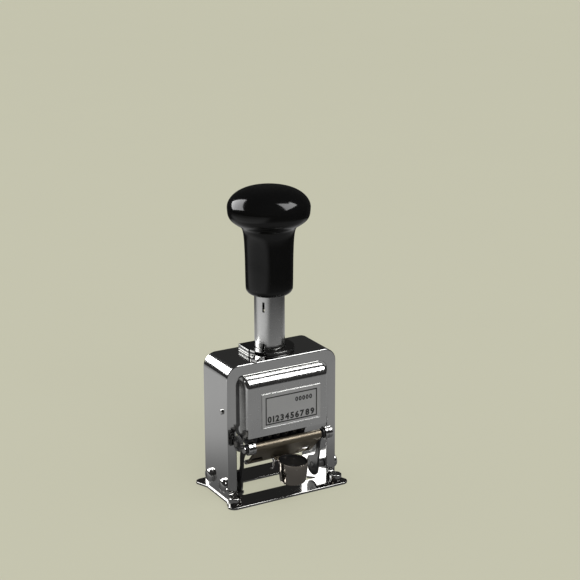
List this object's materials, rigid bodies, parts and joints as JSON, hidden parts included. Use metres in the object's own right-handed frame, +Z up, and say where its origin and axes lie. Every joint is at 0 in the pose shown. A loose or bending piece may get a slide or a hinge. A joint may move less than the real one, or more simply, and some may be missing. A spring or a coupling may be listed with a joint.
{
  "type": "numbering machine",
  "caption": "Hand-operated self-inking numbering machine: a mushroom knob on a plunger over a U-shaped steel frame, with a covered wheel carriage, a swinging ink pad and a slotted base.",
  "frame": {"origin": "on the table, at the middle of the part's outline seen from above, under the base plate", "axes": "+Z up along the plunger, -Y towards the front with the cover and the thumb cup, +X to the right seen from the front"},
  "size_m": [0.0684, 0.0524, 0.1558],
  "materials": {
    "frame": "polished",
    "base_plate": "polished",
    "foot_stud_left": "polished",
    "foot_stud_right": "polished",
    "frame_screw_left": "polished",
    "frame_screw_right": "polished",
    "pad_pivot_left": "polished",
    "pad_pivot_right": "polished",
    "side_pin": "polished",
    "collar_plate": "polished",
    "collar_spacer": "polished",
    "collar_cap": "polished",
    "spring_seat": "satin",
    "return_spring": "satin",
    "lock_slide": "polished",
    "plunger_tube": "bright",
    "plunger_plug": "satin",
    "knob": "gloss black",
    "carriage_block": "blackened",
    "cover": "polished",
    "label_plate": "satin",
    "carriage_side_left": "blackened",
    "carriage_side_right": "blackened",
    "wheel_shaft": "satin",
    "dial_bracket": "blackened",
    "movement_dial": "blackened",
    "wheel_cradle": "blackened",
    "pawl_rocker": "blackened",
    "pad_arm_left": "blackened",
    "pad_arm_right": "blackened",
    "rod_nut_left": "polished",
    "rod_nut_right": "polished",
    "pad_rod": "polished",
    "pad_tray": "polished",
    "ink_pad": "felt",
    "thumb_cup": "polished",
    "pad_catch": "polished",
    "figure_wheel_1": "engraved",
    "figure_wheel_2": "engraved",
    "figure_wheel_3": "engraved",
    "figure_wheel_4": "engraved",
    "figure_wheel_5": "engraved",
    "figure_wheel_6": "engraved"
  },
  "bodies": {
    "stand": {"frame": "frame", "base_plate": "base_plate", "foot_stud_left": "foot_stud_left", "foot_stud_right": "foot_stud_right", "frame_screw_left": "frame_screw_left", "frame_screw_right": "frame_screw_right", "pad_pivot_left": "pad_pivot_left", "pad_pivot_right": "pad_pivot_right", "side_pin": "side_pin", "collar_plate": "collar_plate", "collar_spacer": "collar_spacer", "collar_cap": "collar_cap", "spring_seat": "spring_seat", "return_spring": "return_spring"},
    "lock": {"lock_slide": "lock_slide"},
    "carriage": {"plunger_tube": "plunger_tube", "plunger_plug": "plunger_plug", "knob": "knob", "carriage_block": "carriage_block", "cover": "cover", "label_plate": "label_plate", "carriage_side_left": "carriage_side_left", "carriage_side_right": "carriage_side_right", "wheel_shaft": "wheel_shaft", "dial_bracket": "dial_bracket"},
    "dial": {"movement_dial": "movement_dial"},
    "cradle": {"wheel_cradle": "wheel_cradle"},
    "rocker": {"pawl_rocker": "pawl_rocker"},
    "pad_arms": {"pad_arm_left": "pad_arm_left", "pad_arm_right": "pad_arm_right", "rod_nut_left": "rod_nut_left", "rod_nut_right": "rod_nut_right", "pad_rod": "pad_rod"},
    "pad_carrier": {"pad_tray": "pad_tray", "ink_pad": "ink_pad", "thumb_cup": "thumb_cup", "pad_catch": "pad_catch"},
    "wheel_1": {"figure_wheel_1": "figure_wheel_1"},
    "wheel_2": {"figure_wheel_2": "figure_wheel_2"},
    "wheel_3": {"figure_wheel_3": "figure_wheel_3"},
    "wheel_4": {"figure_wheel_4": "figure_wheel_4"},
    "wheel_5": {"figure_wheel_5": "figure_wheel_5"},
    "wheel_6": {"figure_wheel_6": "figure_wheel_6"}
  },
  "joints": [
    {"name": "plunger_slide", "type": "slide", "parent": "stand", "child": "carriage", "axis": [0, 0, -1], "range_m": [0, 0.0218], "stiffness_N_per_m": 500, "springref_m": -0.02, "deforming": ["return_spring"]},
    {"name": "lock_slide_push", "type": "slide", "parent": "stand", "child": "lock", "axis": [0.788, 0.6157, 0], "range_m": [0, 0.0016]},
    {"name": "pad_arm_swing", "type": "hinge", "parent": "stand", "child": "pad_arms", "pos_m": [0, -0.00284, 0.00847], "axis": [1, 0, 0], "range_deg": [0, 50.87]},
    {"name": "pad_tray_tilt", "type": "hinge", "parent": "pad_arms", "child": "pad_carrier", "pos_m": [0, -0.01207, 0.02918], "axis": [1, 0, 0], "range_deg": [-131.03, 0]},
    {"name": "cradle_turn", "type": "hinge", "parent": "carriage", "child": "cradle", "pos_m": [0, 0.0032, 0.0333], "axis": [1, 0, 0], "range_deg": [0, 50.32]},
    {"name": "pawl_rocker_swing", "type": "hinge", "parent": "cradle", "child": "rocker", "pos_m": [0, 0.0032, 0.0333], "axis": [1, 0, 0], "range_deg": [0, 36.02]},
    {"name": "movement_dial_turn", "type": "hinge", "parent": "carriage", "child": "dial", "pos_m": [-0.0263, -0.0114, 0.033], "axis": [1, 0, 0], "continuous": true},
    {"name": "figure_wheel_1_turn", "type": "hinge", "parent": "cradle", "child": "wheel_1", "pos_m": [0, 0.0032, 0.0333], "axis": [1, 0, 0], "continuous": true},
    {"name": "figure_wheel_2_turn", "type": "hinge", "parent": "cradle", "child": "wheel_2", "pos_m": [0, 0.0032, 0.0333], "axis": [1, 0, 0], "continuous": true},
    {"name": "figure_wheel_3_turn", "type": "hinge", "parent": "cradle", "child": "wheel_3", "pos_m": [0, 0.0032, 0.0333], "axis": [1, 0, 0], "continuous": true},
    {"name": "figure_wheel_4_turn", "type": "hinge", "parent": "cradle", "child": "wheel_4", "pos_m": [0, 0.0032, 0.0333], "axis": [1, 0, 0], "continuous": true},
    {"name": "figure_wheel_5_turn", "type": "hinge", "parent": "cradle", "child": "wheel_5", "pos_m": [0, 0.0032, 0.0333], "axis": [1, 0, 0], "continuous": true},
    {"name": "figure_wheel_6_turn", "type": "hinge", "parent": "cradle", "child": "wheel_6", "pos_m": [0, 0.0032, 0.0333], "axis": [1, 0, 0], "continuous": true}
  ],
  "couplings": [
    {"joint": "pad_arm_swing", "follows": "plunger_slide", "rad_per_m": 40.711},
    {"joint": "pad_tray_tilt", "follows": "plunger_slide", "rad_per_m": -104.89},
    {"joint": "cradle_turn", "follows": "plunger_slide", "rad_per_m": 40.271},
    {"joint": "pawl_rocker_swing", "follows": "plunger_slide", "rad_per_m": 28.822}
  ]
}
